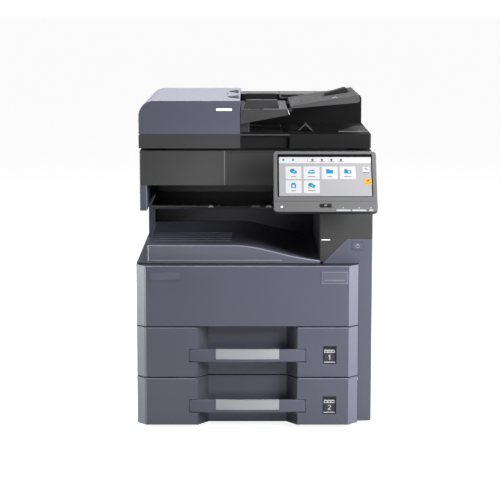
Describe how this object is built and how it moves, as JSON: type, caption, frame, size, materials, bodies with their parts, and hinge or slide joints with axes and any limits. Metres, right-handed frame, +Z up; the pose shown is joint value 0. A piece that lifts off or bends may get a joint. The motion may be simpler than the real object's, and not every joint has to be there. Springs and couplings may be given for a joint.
{
  "type": "photocopier",
  "caption": "Office photocopier with a document feeder, flatbed scanner, tilting touch panel, output tray inside the body and two pull-out paper drawers with bowed handles",
  "frame": {"origin": "on the floor under the middle of the bounding box", "axes": "+X to the user's right, +Y to the back, +Z up; the drawers open towards -Y"},
  "size_m": [0.6, 0.6832, 0.8451],
  "materials": {
    "blue_grey_plastic": "textured moulded",
    "dark_plastic": "textured moulded",
    "black_plastic": "textured moulded",
    "silver_trim": "satin",
    "badge_plastic": "gloss",
    "screen_glass": "gloss",
    "key_plastic": "satin",
    "clear_glass": "polished",
    "white_sheet": "matt",
    "frame_steel": "zinc plated sheet",
    "light_plastic": "moulded",
    "foot_rubber": "matt",
    "roller_coating": "satin",
    "board_green": "printed board"
  },
  "bodies": {
    "cabinet": {"feet": "foot_rubber", "base_plate": "frame_steel", "left_frame": "frame_steel", "right_frame": "frame_steel", "rear_frame": "frame_steel", "engine_deck": "frame_steel", "left_cover": "blue_grey_plastic", "rear_cover": "blue_grey_plastic", "right_cover": "blue_grey_plastic", "tower_cover": "dark_plastic", "tower_lower_cover": "blue_grey_plastic", "output_tray": "blue_grey_plastic", "cavity_wall": "black_plastic", "inner_tray": "black_plastic", "left_upper_cover": "blue_grey_plastic", "scanner_housing": "dark_plastic", "platen_glass": "clear_glass", "lens_unit": "black_plastic", "drawer_rails": "frame_steel", "toner_container": "light_plastic", "drum_unit": "black_plastic", "laser_unit": "black_plastic", "fuser_housing": "black_plastic", "power_supply": "frame_steel", "power_inlet": "black_plastic", "control_board": "board_green", "panel_bracket": "dark_plastic"},
    "front_cover": {"front_cover": "blue_grey_plastic", "cover_plates": "badge_plastic"},
    "power_button": {"power_button": "blue_grey_plastic"},
    "lamp_carriage": {"lamp_carriage": "frame_steel"},
    "mirror_carriage": {"mirror_carriage": "black_plastic"},
    "panel": {"panel_housing": "dark_plastic", "touch_screen": "screen_glass"},
    "home_key": {"home_key": "key_plastic"},
    "feeder": {"feeder_base": "dark_plastic", "platen_pad": "white_sheet"},
    "feeder_cover": {"feeder_cover": "blue_grey_plastic"},
    "feed_roller": {"feed_roller": "foot_rubber"},
    "document_tray": {"document_tray": "dark_plastic"},
    "document_front_guide": {"document_front_guide": "dark_plastic"},
    "document_rear_guide": {"document_rear_guide": "black_plastic"},
    "right_door": {"right_door": "blue_grey_plastic"},
    "bypass_tray": {"bypass_tray": "blue_grey_plastic"},
    "heat_roller": {"heat_roller": "roller_coating"},
    "pressure_roller": {"pressure_roller": "foot_rubber"},
    "drawer_1": {"drawer_1_front": "blue_grey_plastic", "drawer_1_handle": "blue_grey_plastic", "drawer_1_grip": "silver_trim", "drawer_1_tray": "light_plastic"},
    "drawer_1_lift_plate": {"drawer_1_lift_plate": "frame_steel"},
    "drawer_1_front_guide": {"drawer_1_front_guide": "light_plastic"},
    "drawer_1_rear_guide": {"drawer_1_rear_guide": "light_plastic"},
    "drawer_2": {"drawer_2_front": "blue_grey_plastic", "drawer_2_handle": "blue_grey_plastic", "drawer_2_grip": "silver_trim", "drawer_2_tray": "light_plastic"},
    "drawer_2_lift_plate": {"drawer_2_lift_plate": "frame_steel"},
    "drawer_2_front_guide": {"drawer_2_front_guide": "light_plastic"},
    "drawer_2_rear_guide": {"drawer_2_rear_guide": "light_plastic"}
  },
  "joints": [
    {"name": "front_cover_hinge", "type": "hinge", "parent": "cabinet", "child": "front_cover", "pos_m": [-0.238, -0.296, 0.2695], "axis": [1, 0, 0], "range_deg": [0, 90]},
    {"name": "power_button_press", "type": "slide", "parent": "cabinet", "child": "power_button", "axis": [0, 1, 0], "range_m": [0, 0.0015], "stiffness_N_per_m": 500},
    {"name": "lamp_carriage_slide", "type": "slide", "parent": "cabinet", "child": "lamp_carriage", "axis": [1, 0, 0], "range_m": [0, 0.4]},
    {"name": "mirror_carriage_slide", "type": "slide", "parent": "cabinet", "child": "mirror_carriage", "axis": [1, 0, 0], "range_m": [0, 0.2]},
    {"name": "panel_tilt", "type": "hinge", "parent": "cabinet", "child": "panel", "pos_m": [0.1717, -0.26301, 0.6326], "axis": [-1, 0, 0], "range_deg": [-20, 25]},
    {"name": "home_key_press", "type": "slide", "parent": "panel", "child": "home_key", "axis": [0, 0.8387, -0.5446], "range_m": [0, 0.0012], "stiffness_N_per_m": 400},
    {"name": "feeder_lift", "type": "hinge", "parent": "cabinet", "child": "feeder", "pos_m": [-0.18, 0.32, 0.6994], "axis": [-1, 0, 0], "range_deg": [0, 60]},
    {"name": "feeder_cover_hinge", "type": "hinge", "parent": "feeder", "child": "feeder_cover", "pos_m": [-0.297, -0.112, 0.7379], "axis": [0, -1, 0], "range_deg": [0, 75]},
    {"name": "feed_roller_spin", "type": "hinge", "parent": "feeder", "child": "feed_roller", "pos_m": [-0.075, -0.023, 0.7909], "axis": [0, 1, 0], "continuous": true},
    {"name": "document_tray_lift", "type": "hinge", "parent": "feeder", "child": "document_tray", "pos_m": [0.089, -0.157, 0.7964], "axis": [0, -1, 0], "range_deg": [0, 35]},
    {"name": "document_front_guide_slide", "type": "slide", "parent": "feeder", "child": "document_front_guide", "axis": [0, 1, 0], "range_m": [0, 0.07]},
    {"name": "document_rear_guide_slide", "type": "slide", "parent": "feeder", "child": "document_rear_guide", "axis": [0, 1, 0], "range_m": [-0.07, 0]},
    {"name": "right_door_hinge", "type": "hinge", "parent": "cabinet", "child": "right_door", "pos_m": [0.288, 0.142, 0.055], "axis": [0, 0, 1], "range_deg": [0, 80]},
    {"name": "bypass_tray_hinge", "type": "hinge", "parent": "right_door", "child": "bypass_tray", "pos_m": [0.2905, -0.125, 0.16], "axis": [0, 1, 0], "range_deg": [0, 78]},
    {"name": "heat_roller_spin", "type": "hinge", "parent": "cabinet", "child": "heat_roller", "pos_m": [0.2008, -0.035, 0.4488], "axis": [0, 1, 0], "continuous": true},
    {"name": "pressure_roller_spin", "type": "hinge", "parent": "cabinet", "child": "pressure_roller", "pos_m": [0.2312, -0.035, 0.4488], "axis": [0, 1, 0], "continuous": true},
    {"name": "drawer_1_slide", "type": "slide", "parent": "cabinet", "child": "drawer_1", "axis": [0, -1, 0], "range_m": [0, 0.38]},
    {"name": "drawer_1_lift_plate_hinge", "type": "hinge", "parent": "drawer_1", "child": "drawer_1_lift_plate", "pos_m": [-0.162, -0.0945, 0.148], "axis": [0, -1, 0], "range_deg": [0, 8]},
    {"name": "drawer_1_front_guide_slide", "type": "slide", "parent": "drawer_1", "child": "drawer_1_front_guide", "axis": [0, 1, 0], "range_m": [0, 0.07]},
    {"name": "drawer_1_rear_guide_slide", "type": "slide", "parent": "drawer_1", "child": "drawer_1_rear_guide", "axis": [0, 1, 0], "range_m": [-0.07, 0]},
    {"name": "drawer_2_slide", "type": "slide", "parent": "cabinet", "child": "drawer_2", "axis": [0, -1, 0], "range_m": [0, 0.38]},
    {"name": "drawer_2_lift_plate_hinge", "type": "hinge", "parent": "drawer_2", "child": "drawer_2_lift_plate", "pos_m": [-0.162, -0.0945, 0.0245], "axis": [0, -1, 0], "range_deg": [0, 8]},
    {"name": "drawer_2_front_guide_slide", "type": "slide", "parent": "drawer_2", "child": "drawer_2_front_guide", "axis": [0, 1, 0], "range_m": [0, 0.07]},
    {"name": "drawer_2_rear_guide_slide", "type": "slide", "parent": "drawer_2", "child": "drawer_2_rear_guide", "axis": [0, 1, 0], "range_m": [-0.07, 0]}
  ],
  "couplings": [
    {"joint": "mirror_carriage_slide", "follows": "lamp_carriage_slide", "ratio": 0.5},
    {"joint": "document_rear_guide_slide", "follows": "document_front_guide_slide", "ratio": -1},
    {"joint": "pressure_roller_spin", "follows": "heat_roller_spin", "ratio": -1},
    {"joint": "drawer_1_rear_guide_slide", "follows": "drawer_1_front_guide_slide", "ratio": -1},
    {"joint": "drawer_2_rear_guide_slide", "follows": "drawer_2_front_guide_slide", "ratio": -1}
  ]
}
